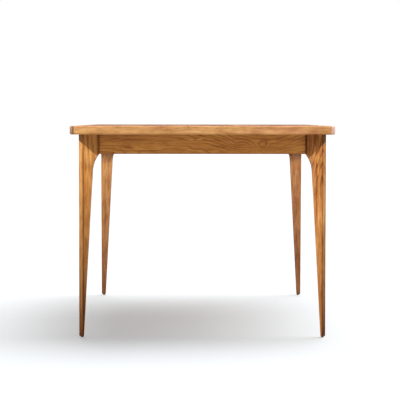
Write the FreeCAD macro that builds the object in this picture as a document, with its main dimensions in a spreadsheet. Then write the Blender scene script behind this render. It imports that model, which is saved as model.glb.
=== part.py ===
import FreeCAD, Part
import math
import os
import types
import Sketcher

# Extending dining table in millimetres. +Z is up and the floor is z = 0. The origin is on
# the floor under the middle of the table, X runs across its width and Y along its length.
# The top is cut across the middle. Both halves slide outwards on grooved rails, geared
# together by a pinion between two racks, and a folded leaf is stored under them.


# Driving sizes, by the names that they have in the sheet

SIZES = {
    # Whole table
    "top_length": 1500,  # length of the closed top
    "top_width": 944,  # width of the top
    "top_thick": 30,  # thickness of the top
    "table_height": 760,  # floor to top surface
    "end_overhang": 45,  # top beyond the legs at each end
    "side_overhang": 28.5,  # top beyond the legs at each side
    "top_clearance": 0.5,  # gap between the frame and the sliding top

    # Top halves
    "lipping_width": 15,  # solid lipping round the panel
    "upper_arris": 2,  # bevel round the upper side of the top
    "lower_arris": 3.5,  # bevel round the underside of the top
    "corner_radius": 10,  # rounding of the top's corners in plan
    "seam_gap": 0.4,  # gap between the closed halves
    "batten_width": 40,  # batten across the underside of a half
    "batten_height": 29,  # height of the batten
    "batten_end_gap": 4,  # batten end to the inner runner
    "align_width": 36,  # alignment tongue in the seam, across the table
    "align_thick": 8,  # thickness of an alignment tongue
    "align_stand": 10,  # how far an alignment tongue stands out
    "align_root": 16,  # how deep an alignment tongue is glued in
    "align_clearance": 0.3,  # socket round an alignment tongue
    "align_outer_inset": 122,  # side of the top to the outer alignment tongues
    "align_arm_gap": 4,  # inner alignment tongue of the leaf to its pivot arm

    # Legs and aprons
    "leg_block": 72,  # square block at the top of a leg
    "leg_chamfer": 13.5,  # chamfer down the outer corner of a leg
    "leg_knee_width": 49,  # leg width where the flare starts
    "leg_foot_width": 17,  # leg width at the floor
    "leg_flare_drop": 60,  # height of the flare under the apron
    "foot_bevel": 2,  # bevel round the foot of a leg
    "glide_radius": 5,  # glide under a leg
    "glide_thick": 3,  # thickness of the glide
    "glide_inset": 10.6,  # glide's middle from both outer faces
    "apron_height": 69.5,  # height of the aprons
    "apron_thick": 22,  # thickness of the aprons
    "apron_setback": 12,  # apron behind the outer face of the leg
    "tenon_thick": 8,  # tenon of an apron
    "tenon_length": 25,  # length of the tenon
    "tenon_shoulder": 9,  # apron above and below its tenon
    "joint_fit": 0.1,  # glue gap round a tenon

    # Corner braces and their bolts
    "brace_thick": 22,  # thickness of a corner brace
    "brace_height": 28,  # height of a corner brace
    "brace_gap": 3,  # gap that the bolt pulls up
    "brace_lift": 1,  # brace above the lower edge of the apron
    "bolt_radius": 4,  # bolt from the leg through the brace
    "bolt_root": 44,  # bolt inside the leg
    "bolt_head_radius": 7.5,  # head of the bolt, middle to a corner
    "bolt_head_thick": 6.5,  # thickness of the bolt's head

    # Cross rails
    "cross_rail_width": 30,  # cross rail, along the table
    "cross_rail_gap": 14,  # stored leaf to the cross rail
    "cross_rail_lift": 4.5,  # cross rail above the apron's lower edge
    "stub_length": 8,  # stub tenon of a cross rail
    "stub_shoulder": 6,  # cross rail round its stub tenon

    # Slides
    "rail_half_width": 22,  # half the width of the slide rail
    "rail_height": 39,  # height of the slide rail
    "rail_drop": 1,  # top of the rail under the top's underside
    "slide_gap": 0.4,  # running gap between rail and runner
    "runner_lift": 4.5,  # runner above the foot of the rail
    "runner_thick": 24,  # thickness of a runner
    "runner_tail_end": 25,  # runner beyond the last tooth in use
    "runner_relief": 1,  # tail of the runner under the other half
    "tongue_height": 10,  # tongue and rack of a runner
    "gear_module": 2,  # module of rack and pinion
    "pinion_teeth": 18,  # teeth of the pinion
    "gear_backlash": 0.5,  # play between the teeth
    "groove_clearance": 0.5,  # groove floor to the tips of the rack
    "pinion_clearance": 0.6,  # window round the pinion
    "axle_radius": 4,  # axle of the pinion
    "running_fit": 0.08,  # play round an axle
    "buffer_height": 20,  # stop pad at the end of a slide
    "buffer_thick": 5.7,  # thickness of the stop pad
    "stop_clearance": 0.3,  # runner to its stop pad when open

    # Screws
    "screw_radius": 2.5,  # wood screw, middle to a corner
    "screw_head_radius": 4.5,  # head of the screw, middle to a corner
    "screw_head_thick": 3,  # thickness of the head
    "top_screw_bite": 20,  # screw inside the top
    "rail_screw_bite": 10,  # screw inside a slide rail

    # Folding leaf, stored folded with its show faces together
    "leaf_length": 500,  # leaf along the table
    "leaf_thick": 28,  # thickness of the leaf
    "leaf_fold_gap": 0.5,  # gap between the folded panels
    "leaf_drop": 10,  # stored leaf under the top
    "leaf_play": 20,  # how much further a half slides than the leaf needs
    "hinge_length": 40,  # concealed hinge along the fold
    "hinge_body_thick": 10,  # thickness of each of its bodies
    "hinge_depth": 14,  # body inside the panel
    "hinge_inset": 7.5,  # show face to the middle of the body
    "hinge_link_thick": 2,  # link between two bodies
    "hinge_place": 170,  # middle of the leaf to the outer hinges
    "pivot_lift": 6,  # pivot pin above the stored upper panel
    "pivot_radius": 2.5,  # pivot pin of the leaf
    "pivot_pin_length": 9,  # pivot pin beyond its arm
    "pivot_neck": 7,  # width of the arm at the pin
    "pivot_arm_width": 40,  # width of the arm on the leaf
    "pivot_arm_drop": 22,  # arm below the panel's upper face
    "plate_thick": 3,  # steel of the leaf's fittings
    "bracket_half_width": 10,  # half the width of the open bracket
    "bracket_clearance": 0.3,  # slot round the pivot pin
    "bracket_foot": 22,  # foot of the bracket on the cross rail
    "ledge_start": 60,  # middle line to the start of the ledge
    "ledge_end": 200,  # middle line to the end of the ledge
    "ledge_height": 27,  # upright side of the ledge

    # Lever locks across the seam
    "lock_from_apron": 29.5,  # side apron to the middle of the lock
    "lock_runner_gap": 1.6,  # plate of the lock to the outer runner
    "lock_reach": 16,  # lever's pivot to the keeper's stud
    "lock_plate_width": 24,  # width of plate and keeper
    "lock_plate_length": 22,  # length of plate and keeper
    "lock_plate_thick": 2,  # thickness of plate and keeper
    "lever_thick": 5,  # thickness of the lever
    "lever_gap": 0.4,  # lever to the plate and to the pin's head
    "lever_hub_radius": 7,  # round end of the lever
    "lever_tip": 8,  # lever beyond the stud
    "lever_outer_side": 8,  # lever behind its middle line
    "lever_inner_side": 6,  # lever before its middle line
    "lever_tab_drop": 10,  # finger tab under the lever
    "lever_tab_thick": 3.5,  # thickness of the finger tab
    "stud_radius": 3,  # pivot pin and keeper's stud
    "stud_clearance": 0.5,  # hook round the stud
    "stud_end_gap": 1.4,  # stud beyond the lever
    "stud_head_radius": 5,  # head of the pivot pin
    "stud_head_thick": 2,  # thickness of that head

    # How far a cutter runs past what it cuts
    "overrun": 5,  # cutter beyond the face it leaves
}


# Sizes that know both their value and the sheet formula behind it

class Size:
    def __init__(self, formula, value):
        self.formula = formula
        self.value = float(value)

    def __float__(self):
        return self.value

    def combined(self, sign, other, value):
        return Size(f"({self.formula} {sign} {as_size(other).formula})", value)

    def __add__(self, other):
        return self.combined("+", other, self.value + float(other))

    def __sub__(self, other):
        return self.combined("-", other, self.value - float(other))

    def __mul__(self, other):
        return self.combined("*", other, self.value * float(other))

    def __truediv__(self, other):
        return self.combined("/", other, self.value / float(other))

    def __radd__(self, other):
        return as_size(other) + self

    def __rsub__(self, other):
        return as_size(other) - self

    def __rmul__(self, other):
        return as_size(other) * self

    def __neg__(self):
        return as_size(-1) * self


def as_size(number):
    return number if isinstance(number, Size) else Size(repr(number), number)


def rounded_up(amount):
    return Size(f"ceil({amount.formula})", math.ceil(amount.value))


def square_root(amount):
    return Size(f"sqrt({amount.formula})", math.sqrt(amount.value))


# The sheet, and each driving size by its own name

doc = FreeCAD.newDocument("ExtendingDiningTable")
sheet = doc.addObject("Spreadsheet::Sheet", "Sizes")
for row, (alias, number) in enumerate(SIZES.items(), start=1):
    sheet.set(f"A{row}", alias.replace("_", " "))
    sheet.set(f"B{row}", str(number))
    sheet.setAlias(f"B{row}", alias)
sheet.recompute()
size = types.SimpleNamespace(**{alias: Size(f"Sizes.{alias}", number)
                                for alias, number in SIZES.items()})

DIAGONAL_SHARE = math.sqrt(2)
PRESSURE_ANGLE = math.radians(20)
ADDENDUM_SHARE = 1.0
DEDENDUM_SHARE = 1.25
RUNNER_SCREW_SHARES = (0.15, 0.5, 0.9)
BATTEN_SCREW_SHARES = (-0.8, 0, 0.8)
HOOK_OPENING = math.radians(45)
SHANK_SIDES = 6

# Heights that several pieces share
top_underside = size.table_height - size.top_thick
frame_top = top_underside - size.top_clearance
apron_bottom = frame_top - size.apron_height
knee_height = apron_bottom - size.leg_flare_drop
tenon_bottom = apron_bottom + size.tenon_shoulder
tenon_top = frame_top - size.tenon_shoulder
rail_top = top_underside - size.rail_drop
rail_bottom = rail_top - size.rail_height
tongue_middle = (rail_top + rail_bottom) / 2
cross_rail_bottom = apron_bottom + size.cross_rail_lift
leaf_top = top_underside - size.leaf_drop
leaf_upper_face = leaf_top - size.leaf_thick
leaf_lower_face = leaf_upper_face - size.leaf_fold_gap
leaf_bottom = leaf_lower_face - size.leaf_thick
align_depth = (size.top_thick - size.align_thick) / 2

# Places in plan
half_length = size.top_length / 2
half_width = size.top_width / 2
leg_x = half_width - size.side_overhang
leg_y = half_length - size.end_overhang
tenon_outer = size.apron_setback + (size.apron_thick - size.tenon_thick) / 2
tenon_inner = tenon_outer + size.tenon_thick
apron_inner = size.apron_setback + size.apron_thick
apron_inner_x = leg_x - apron_inner
apron_inner_y = leg_y - apron_inner
leaf_half_width = half_width / 2
leaf_half_length = size.leaf_length / 2
cross_rail_inner = leaf_half_length + size.cross_rail_gap
cross_rail_outer = cross_rail_inner + size.cross_rail_width
pivot_x = -leaf_half_width / 2
travel = leaf_half_length + size.leaf_play
runner_reach = apron_inner_y - size.buffer_thick - size.stop_clearance - travel
batten_place = (cross_rail_outer + runner_reach) / 2
lock_x = apron_inner_x - size.lock_from_apron
outer_runner_face = lock_x - size.lock_plate_width / 2 - size.lock_runner_gap
rail_place = outer_runner_face - size.runner_thick - size.slide_gap - size.rail_half_width
align_inner = leaf_half_width / 2 + (size.pivot_arm_width + size.align_width) / 2 + size.align_arm_gap
align_outer = half_width - size.align_outer_inset

# Gear sizes
pitch = size.gear_module * math.pi
pitch_radius = size.gear_module * size.pinion_teeth / 2
tip_radius = pitch_radius + size.gear_module * ADDENDUM_SHARE
root_radius = pitch_radius - size.gear_module * DEDENDUM_SHARE
rack_tip = pitch_radius - size.gear_module * ADDENDUM_SHARE
rack_root = pitch_radius + size.gear_module * DEDENDUM_SHARE
half_tooth = pitch / 4 - size.gear_backlash / 4
mesh_reach = square_root(tip_radius * tip_radius - rack_tip * rack_tip)
groove_floor = rack_tip - size.groove_clearance
groove_half_height = size.tongue_height / 2 + size.slide_gap

CORNERS = {
    "front_left": (-1, -1, 0),
    "front_right": (1, -1, 90),
    "back_right": (1, 1, 180),
    "back_left": (-1, 1, 270),
}
SIDES = {"left": -1, "right": 1}
HALVES = {"front": -1, "back": 1}
AXES = {
    "x": FreeCAD.Vector(1, 0, 0),
    "y": FreeCAD.Vector(0, 1, 0),
    "z": FreeCAD.Vector(0, 0, 1),
}

nodes = []


# Helpers that draw with bound sizes

def named(shape_object, label):
    """Give a finished sub-part the label that names its file."""
    shape_object.Label = label
    nodes.append(shape_object)
    return shape_object


def bind(target, prop, amount):
    target.setExpression(prop, as_size(amount).formula)


def place(target, x, y, z=0, turn=0):
    """Put a sub-part at its place, turned about the upright axis by so many degrees."""
    target.Placement = FreeCAD.Placement(FreeCAD.Vector(), FreeCAD.Rotation(AXES["z"], turn))
    for axis, amount in (("x", x), ("y", y), ("z", z)):
        bind(target, f"Placement.Base.{axis}", amount)


def new_body(label):
    return named(doc.addObject("PartDesign::Body", label), label)


def origin_feature(body, role):
    return next(item for item in body.Origin.OriginFeatures if item.Role == role)


def attach(feature, body, plane="XY_Plane"):
    feature.AttachmentSupport = [(origin_feature(body, plane), "")]
    feature.MapMode = "FlatFace"


def box_feature(body, kind, name, ranges):
    box = body.newObject(f"PartDesign::{kind}", name)
    attach(box, body)
    for prop, axis, span in zip(("Length", "Width", "Height"), "xyz", ranges):
        low, high = sorted((as_size(end) for end in span), key=float)
        bind(box, prop, high - low)
        bind(box, f"AttachmentOffset.Base.{axis}", low)
    return box


def add_box(body, name, x, y, z):
    return box_feature(body, "AdditiveBox", name, (x, y, z))


def cut_box(body, name, x, y, z):
    return box_feature(body, "SubtractiveBox", name, (x, y, z))


def along_feature(body, kind, name, start, along, length):
    """A primitive that stands at start and goes along an axis, or along a vector."""
    feature = body.newObject(f"PartDesign::{kind}", name)
    attach(feature, body)
    direction = AXES[along] if isinstance(along, str) else along
    turn = FreeCAD.Rotation(AXES["z"], direction)
    feature.AttachmentOffset = FreeCAD.Placement(FreeCAD.Vector(), turn)
    for axis, amount in zip("xyz", start):
        bind(feature, f"AttachmentOffset.Base.{axis}", amount)
    bind(feature, "Height", length)
    return feature


def add_cylinder(body, name, start, along, radius, length):
    bind(along_feature(body, "AdditiveCylinder", name, start, along, length), "Radius", radius)


def cut_cylinder(body, name, start, along, radius, length):
    bind(along_feature(body, "SubtractiveCylinder", name, start, along, length), "Radius", radius)


def drill(body, name, start, along, radius, length):
    """A six-sided hole that fits the shank of a screw or bolt."""
    hole = along_feature(body, "SubtractivePrism", name, start, along, length)
    hole.Polygon = SHANK_SIDES
    bind(hole, "Circumradius", radius)


def new_sketch(body, name, plane="XY_Plane", offset=0):
    drawing = body.newObject("Sketcher::SketchObject", name)
    attach(drawing, body, plane)
    bind(drawing, "AttachmentOffset.Base.z", offset)
    return drawing


def tangent_arc(start, end, heading):
    """The arc that leaves start along heading and ends at end, and whether it turns left."""
    chord = end - start
    left = heading.x * chord.y - heading.y * chord.x > 0
    normal = FreeCAD.Vector(-heading.y, heading.x, 0) * (1 if left else -1)
    radius = chord.dot(chord) / (2 * normal.dot(chord))
    centre = start + normal * radius
    angles = [math.atan2(point.y - centre.y, point.x - centre.x) for point in (start, end)]
    first, last = angles if left else reversed(angles)
    circle = Part.Circle(centre, AXES["z"], radius)
    return Part.ArcOfCircle(circle, first, last), left


def hold(drawing, edge, end, corner):
    """Hold one end of an edge at two sizes from the sketch's origin."""
    for kind, amount in zip(("DistanceX", "DistanceY"), corner):
        held = Sketcher.Constraint(kind, -1, 1, edge, end, float(amount))
        bind(drawing, f"Constraints[{drawing.addConstraint(held)}]", amount)


def outline(drawing, corners, arc_edge=None):
    """A closed outline through corners. The edge arc_edge is an arc that continues the
    edge before it without a kink."""
    points = [FreeCAD.Vector(float(x), float(y), 0) for x, y in corners]
    ends = []
    for number, start in enumerate(points):
        end = points[(number + 1) % len(points)]
        if number == arc_edge:
            heading = (start - points[number - 1]).normalize()
            shape, left = tangent_arc(start, end, heading)
            ends.append((1, 2) if left else (2, 1))
        else:
            shape = Part.LineSegment(start, end)
            ends.append((1, 2))
        drawing.addGeometry(shape)
    for number, corner in enumerate(corners):
        before = (number - 1) % len(corners)
        kind = "Tangent" if number == arc_edge else "Coincident"
        join = Sketcher.Constraint(kind, before, ends[before][1], number, ends[number][0])
        drawing.addConstraint(join)
        hold(drawing, number, ends[number][0], corner)


def pad(body, drawing, length, backwards=False):
    feature = body.newObject("PartDesign::Pad", drawing.Name + "_pad")
    feature.Profile = drawing
    bind(feature, "Length", length)
    feature.Reversed = backwards
    return feature


def pocket(body, drawing, length, backwards=False):
    feature = body.newObject("PartDesign::Pocket", drawing.Name + "_pocket")
    feature.Profile = drawing
    bind(feature, "Length", length)
    feature.Reversed = backwards
    return feature


def edges_where(shape, test):
    """Names of the edges whose two ends both pass the test."""
    return [f"Edge{number}" for number, edge in enumerate(shape.Edges, start=1)
            if all(test(vertex.Point) for vertex in edge.Vertexes)]


def near(first, second):
    return round(float(first) - float(second), 6) == 0


def dress(body, kind, prop, amount, test):
    """A fillet or chamfer on the edges of the body's last feature that pass the test."""
    doc.recompute()
    base = body.Tip
    feature = body.newObject(f"PartDesign::{kind}", kind)
    feature.Base = (base, edges_where(base.Shape, test))
    bind(feature, prop, amount)
    return feature


def group(label, shapes):
    """Loose pieces of one kind, as separate solids in one node."""
    feature = doc.addObject("Part::Feature", label)
    feature.Shape = Part.makeCompound(shapes)
    return named(feature, label)


def turned(profile, start, along):
    """A solid turned from (distance along, radius) points, standing at start."""
    points = [FreeCAD.Vector(float(radius), 0, float(height)) for height, radius in profile]
    face = Part.Face(Part.makePolygon(points + points[:1]))
    return stood(face.revolve(FreeCAD.Vector(), AXES["z"], 360), start, along)


def stood(solid, start, along):
    base = FreeCAD.Vector(*(float(amount) for amount in start))
    solid.Placement = FreeCAD.Placement(base, FreeCAD.Rotation(AXES["z"], along))
    return solid


def fastener(start, along, stages):
    """A plain screw or bolt, as six-sided stages (from, to, radius) along it."""
    angles = [math.tau * side / SHANK_SIDES for side in range(SHANK_SIDES + 1)]
    solids = []
    for low, high, radius in stages:
        corners = [FreeCAD.Vector(float(radius) * math.cos(angle), float(radius) * math.sin(angle),
                                  float(low)) for angle in angles]
        solids.append(Part.Face(Part.makePolygon(corners)).extrude(AXES["z"] * float(high - low)))
    return stood(solids[0].fuse(solids[1]), start, along)


def screw(start, along, length):
    """A screw whose head stands on the seat at start, and whose shank goes along."""
    return fastener(start, along, [(-size.screw_head_thick, as_size(0), size.screw_head_radius),
                                   (as_size(0), length, size.screw_radius)])


def block(x, y, z):
    """A plain box between two sizes along each axis."""
    spans = [sorted(float(end) for end in span) for span in (x, y, z)]
    low = FreeCAD.Vector(*(span[0] for span in spans))
    return Part.makeBox(*(high - start for start, high in spans), low)


def corner_frame(horizontal, vertical, turn):
    """Where a leg's own frame lies: its origin is on the outer corner of the leg."""
    base = FreeCAD.Vector(float(horizontal * leg_x), float(vertical * leg_y), 0)
    return FreeCAD.Placement(base, FreeCAD.Rotation(AXES["z"], turn))


# Legs. In a leg's own frame the outer faces are x = 0 and y = 0, and the leg goes inwards.

DIAGONAL = FreeCAD.Vector(1, 1, 0).normalize()
block_diagonal = size.leg_block * DIAGONAL_SHARE
bolt_start = block_diagonal - size.bolt_root
bolt_height = apron_bottom + size.brace_lift + size.brace_height / 2


def make_leg(name, horizontal, vertical, turn):
    body = new_body(f"leg_{name}")
    flare = [(size.leg_foot_width, size.glide_thick), (size.leg_knee_width, knee_height)]
    drawing = new_sketch(body, f"leg_{name}_profile", "XZ_Plane")
    outline(drawing, [(0, size.glide_thick), *flare, (size.leg_block, apron_bottom),
                      (size.leg_block, frame_top), (0, frame_top)], arc_edge=2)
    pad(body, drawing, size.leg_block, backwards=True)
    waste = new_sketch(body, f"leg_{name}_waste", "YZ_Plane", -size.overrun)
    outline(waste, [*flare, (size.leg_block, apron_bottom),
                    (size.leg_block + size.overrun, apron_bottom),
                    (size.leg_block + size.overrun, size.glide_thick)], arc_edge=1)
    pocket(body, waste, size.leg_block + 2 * size.overrun, backwards=True)
    dress(body, "Chamfer", "Size", size.leg_chamfer, lambda p: near(p.x, 0) and near(p.y, 0))
    dress(body, "Chamfer", "Size", size.foot_bevel, lambda p: near(p.z, size.glide_thick))
    side = (tenon_outer - size.joint_fit, tenon_inner + size.joint_fit)
    deep = (size.leg_block - size.tenon_length - size.joint_fit, size.leg_block + size.overrun)
    tall = (tenon_bottom - size.joint_fit, tenon_top + size.joint_fit)
    cut_box(body, "end_mortise", deep, side, tall)
    cut_box(body, "side_mortise", side, deep, tall)
    start = bolt_start / DIAGONAL_SHARE
    drill(body, "bolt_hole", (start, start, bolt_height), DIAGONAL, size.bolt_radius, size.leg_block)
    place(body, horizontal * leg_x, vertical * leg_y, 0, turn)


for corner_name, corner in CORNERS.items():
    make_leg(corner_name, *corner)


# Glides under the legs

def glide(frame):
    profile = [(0, 0), (0, size.glide_radius), (size.glide_thick, size.glide_radius), (size.glide_thick, 0)]
    solid = turned(profile, (size.glide_inset, size.glide_inset, 0), AXES["z"])
    solid.Placement = frame.multiply(solid.Placement)
    return solid


group("foot_glides", [glide(corner_frame(*corner)) for corner in CORNERS.values()])


# Aprons, with a tenon at each end

def make_end_apron(name, end):
    body = new_body(f"end_apron_{name}")
    span = leg_x - size.leg_block
    depth = (end * (leg_y - size.apron_setback), end * apron_inner_y)
    add_box(body, "board", (-span, span), depth, (apron_bottom, frame_top))
    tenon_depth = (end * (leg_y - tenon_outer), end * (leg_y - tenon_inner))
    add_box(body, "tenons", (-span - size.tenon_length, span + size.tenon_length), tenon_depth,
            (tenon_bottom, tenon_top))


def make_side_apron(name, side):
    body = new_body(f"side_apron_{name}")
    span = leg_y - size.leg_block
    depth = (side * (leg_x - size.apron_setback), side * apron_inner_x)
    add_box(body, "board", depth, (-span, span), (apron_bottom, frame_top))
    tenon_depth = (side * (leg_x - tenon_outer), side * (leg_x - tenon_inner))
    add_box(body, "tenons", tenon_depth, (-span - size.tenon_length, span + size.tenon_length),
            (tenon_bottom, tenon_top))
    for half_name, end in HALVES.items():
        cut_box(body, f"{half_name}_mortise",
                (side * (apron_inner_x - size.overrun),
                 side * (apron_inner_x + size.stub_length + size.joint_fit)),
                (end * (cross_rail_inner + size.stub_shoulder - size.joint_fit),
                 end * (cross_rail_outer - size.stub_shoulder + size.joint_fit)),
                (cross_rail_bottom + size.stub_shoulder - size.joint_fit,
                 rail_bottom - size.stub_shoulder + size.joint_fit))


for half_name, end in HALVES.items():
    make_end_apron(half_name, end)
for side_name, side in SIDES.items():
    make_side_apron(side_name, side)


# Cross rails between the side aprons, under the slides

rail_screw_places = [(side * rail_place, end * (cross_rail_inner + cross_rail_outer) / 2)
                     for side in SIDES.values() for end in HALVES.values()]


def make_cross_rail(name, end):
    body = new_body(f"cross_rail_{name}")
    add_box(body, "rail", (-apron_inner_x, apron_inner_x),
            (end * cross_rail_inner, end * cross_rail_outer), (cross_rail_bottom, rail_bottom))
    span = apron_inner_x + size.stub_length
    add_box(body, "stubs", (-span, span),
            (end * (cross_rail_inner + size.stub_shoulder), end * (cross_rail_outer - size.stub_shoulder)),
            (cross_rail_bottom + size.stub_shoulder, rail_bottom - size.stub_shoulder))
    for number, (x, y) in enumerate(rail_screw_places):
        if float(y) * end > 0:
            drill(body, f"screw_hole{number}", (x, y, cross_rail_bottom - size.overrun), "z",
                  size.screw_radius, size.rail_height)


for half_name, end in HALVES.items():
    make_cross_rail(half_name, end)

rail_screw_length = rail_bottom - cross_rail_bottom + size.rail_screw_bite
group("rail_screws", [screw((x, y, cross_rail_bottom), AXES["z"], rail_screw_length)
                      for x, y in rail_screw_places])


# Corner braces, each bolted to its leg

brace_outer = 2 * size.leg_block + size.brace_gap * DIAGONAL_SHARE
brace_inner = brace_outer + size.brace_thick * DIAGONAL_SHARE


def make_brace(name, horizontal, vertical, turn):
    body = new_body(f"corner_brace_{name}")
    drawing = new_sketch(body, f"brace_{name}_plan", offset=apron_bottom + size.brace_lift)
    outline(drawing, [(apron_inner, brace_outer - apron_inner),
                      (brace_outer - apron_inner, apron_inner),
                      (brace_inner - apron_inner, apron_inner),
                      (apron_inner, brace_inner - apron_inner)])
    pad(body, drawing, size.brace_height)
    start = brace_outer / 2 - size.overrun
    drill(body, "bolt_hole", (start, start, bolt_height), DIAGONAL,
          size.bolt_radius + size.joint_fit, size.brace_thick + 2 * size.overrun * DIAGONAL_SHARE)
    place(body, horizontal * leg_x, vertical * leg_y, 0, turn)


def brace_bolt(frame):
    """A bolt from inside the leg, with its head on the brace."""
    start = bolt_start / DIAGONAL_SHARE
    seat = brace_inner / DIAGONAL_SHARE - bolt_start
    solid = fastener((start, start, bolt_height), DIAGONAL,
                     [(as_size(0), seat, size.bolt_radius),
                      (seat, seat + size.bolt_head_thick, size.bolt_head_radius)])
    solid.Placement = frame.multiply(solid.Placement)
    return solid


for corner_name, corner in CORNERS.items():
    make_brace(corner_name, *corner)
group("brace_bolts", [brace_bolt(corner_frame(*corner)) for corner in CORNERS.values()])


# Slide rails: grooved on both sides, with a window for the pinion

def make_slide_rail(name, side):
    body = new_body(f"slide_rail_{name}")
    middle = side * rail_place
    add_box(body, "rail", (middle - size.rail_half_width, middle + size.rail_half_width),
            (-apron_inner_y, apron_inner_y), (rail_bottom, rail_top))
    groove = (tongue_middle - groove_half_height, tongue_middle + groove_half_height)
    for groove_name, facing in (("left_groove", -1), ("right_groove", 1)):
        cut_box(body, groove_name,
                (middle + facing * groove_floor, middle + facing * (size.rail_half_width + size.overrun)),
                (-apron_inner_y - size.overrun, apron_inner_y + size.overrun), groove)
    window = tip_radius + size.pinion_clearance
    cut_box(body, "window", (middle - window, middle + window), (-window, window), groove)
    cut_cylinder(body, "axle_hole", (middle, 0, rail_bottom - size.overrun), "z",
                 size.axle_radius, size.rail_height + 2 * size.overrun)
    for number, (x, y) in enumerate(rail_screw_places):
        if float(x) * side > 0:
            drill(body, f"screw_hole{number}", (x, y, rail_bottom - size.overrun), "z",
                  size.screw_radius, size.rail_screw_bite + size.overrun)


def axle(side):
    profile = [(0, 0), (0, size.axle_radius), (size.rail_height, size.axle_radius), (size.rail_height, 0)]
    return turned(profile, (side * rail_place, 0, rail_bottom), AXES["z"])


for side_name, side in SIDES.items():
    make_slide_rail(side_name, side)
group("pinion_axles", [axle(side) for side in SIDES.values()])


# Pinions: a root disc and one involute tooth, repeated round it

def involute_point(radius):
    """The point of the upper flank at this radius, for a tooth that points along +X."""
    base = float(pitch_radius) * math.cos(PRESSURE_ANGLE)
    slope = math.acos(min(base / radius, 1))
    angle = (float(half_tooth / pitch_radius) + math.tan(PRESSURE_ANGLE) - PRESSURE_ANGLE
             - math.tan(slope) + slope)
    return FreeCAD.Vector(radius * math.cos(angle), radius * math.sin(angle), 0)


def mirrored(point):
    return FreeCAD.Vector(point.x, -point.y, 0)


def draw_tooth(drawing):
    base = involute_point(float(pitch_radius) * math.cos(PRESSURE_ANGLE))
    pitch_point = involute_point(float(pitch_radius))
    tip = involute_point(float(tip_radius))
    foot = base * (float(root_radius - size.gear_module) / base.Length)
    flank = [foot, base, pitch_point, tip]
    corners = [mirrored(point) for point in flank] + flank[::-1]
    drawing.addGeometry([Part.LineSegment(start, end)
                         for start, end in zip(corners, corners[1:] + corners[:1])])


def make_pinion(name, side):
    body = new_body(f"pinion_{name}")
    add_cylinder(body, "root_disc", (0, 0, 0), "z", root_radius, size.tongue_height)
    drawing = new_sketch(body, f"pinion_{name}_tooth")
    draw_tooth(drawing)
    tooth = pad(body, drawing, size.tongue_height)
    teeth = body.newObject("PartDesign::PolarPattern", "teeth")
    teeth.Originals = [tooth]
    teeth.Axis = (origin_feature(body, "Z_Axis"), [""])
    teeth.Angle = 360
    bind(teeth, "Occurrences", size.pinion_teeth)
    body.Tip = teeth
    cut_cylinder(body, "bore", (0, 0, -size.overrun), "z", size.axle_radius + size.running_fit,
                 size.tongue_height + 2 * size.overrun)
    place(body, side * rail_place, 0, tongue_middle - size.tongue_height / 2)


for side_name, side in SIDES.items():
    make_pinion(side_name, side)


# Runners. The front half's runners lie outside their rails and the back half's inside.
# Distances along a runner are positive under its own half and negative on its tail.

runner_bottom = rail_bottom + size.runner_lift
runner_tail = travel + size.runner_tail_end
runner_screw_places = [runner_reach * share for share in RUNNER_SCREW_SHARES]
own_spaces = rounded_up(mesh_reach / pitch)
tail_spaces = rounded_up((travel + mesh_reach) / pitch)


def make_runner(half_name, end, side_name, side):
    body = new_body(f"runner_{half_name}_{side_name}")
    facing = side * -end

    def across(distance):
        return side * rail_place + facing * distance

    inner = size.rail_half_width + size.slide_gap
    outer = inner + size.runner_thick
    add_box(body, "own_part", (across(inner), across(outer)), (0, end * runner_reach),
            (runner_bottom, top_underside))
    add_box(body, "tail", (across(inner), across(outer)), (0, -end * runner_tail),
            (runner_bottom, top_underside - size.runner_relief))
    tongue = (tongue_middle - size.tongue_height / 2, tongue_middle + size.tongue_height / 2)
    add_box(body, "tongue", (across(rack_tip), across(outer)),
            (-end * runner_tail, end * runner_reach), tongue)
    flank = math.tan(PRESSURE_ANGLE)
    open_half = pitch / 2 - half_tooth + (size.gear_module * ADDENDUM_SHARE + size.overrun) * flank
    floor_half = pitch / 2 - half_tooth - size.gear_module * DEDENDUM_SHARE * flank
    first = end * own_spaces * pitch
    drawing = new_sketch(body, f"rack_{half_name}_{side_name}_space", offset=tongue[0] - size.overrun)
    outline(drawing, [(across(rack_tip - size.overrun), first - open_half),
                      (across(rack_root), first - floor_half),
                      (across(rack_root), first + floor_half),
                      (across(rack_tip - size.overrun), first + open_half)])
    space = pocket(body, drawing, size.tongue_height + 2 * size.overrun, backwards=True)
    rack = body.newObject("PartDesign::LinearPattern", "rack")
    rack.Originals = [space]
    rack.Direction = (origin_feature(body, "Y_Axis"), [""])
    rack.Reversed = end > 0
    count = own_spaces + tail_spaces + 1
    bind(rack, "Length", (count - 1) * pitch)
    bind(rack, "Occurrences", count)
    body.Tip = rack
    middle = across((inner + outer) / 2)
    for number, distance in enumerate(runner_screw_places):
        drill(body, f"screw_hole{number}", (middle, end * distance, rail_bottom), "z",
              size.screw_radius, size.rail_height + size.overrun)
    return [(middle, end * distance) for distance in runner_screw_places]


# Top halves: panel, lippings, batten and their screws

panel_half_width = half_width - size.lipping_width
ARRISES = ((size.table_height, size.upper_arris), (top_underside, size.lower_arris))
inner_runner_face = rail_place - size.rail_half_width - size.slide_gap - size.runner_thick
batten_half_length = inner_runner_face - size.batten_end_gap
batten_bottom = top_underside - size.batten_height
batten_screw_x = [batten_half_length * share for share in BATTEN_SCREW_SHARES]
align_places = [side * distance for side in SIDES.values()
                for distance in (align_inner, align_outer)]
align_level = top_underside + align_depth


def cut_sockets(body, face, outwards, places, level):
    """Sockets for alignment tongues, in the face of a panel whose outer side is outwards."""
    for number, x in enumerate(places):
        gap = size.align_clearance
        cut_box(body, f"socket{number}",
                (x - size.align_width / 2 - gap, x + size.align_width / 2 + gap),
                (face - outwards * (size.align_stand + gap), face + outwards * size.overrun),
                (level - gap, level + size.align_thick + gap))


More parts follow.
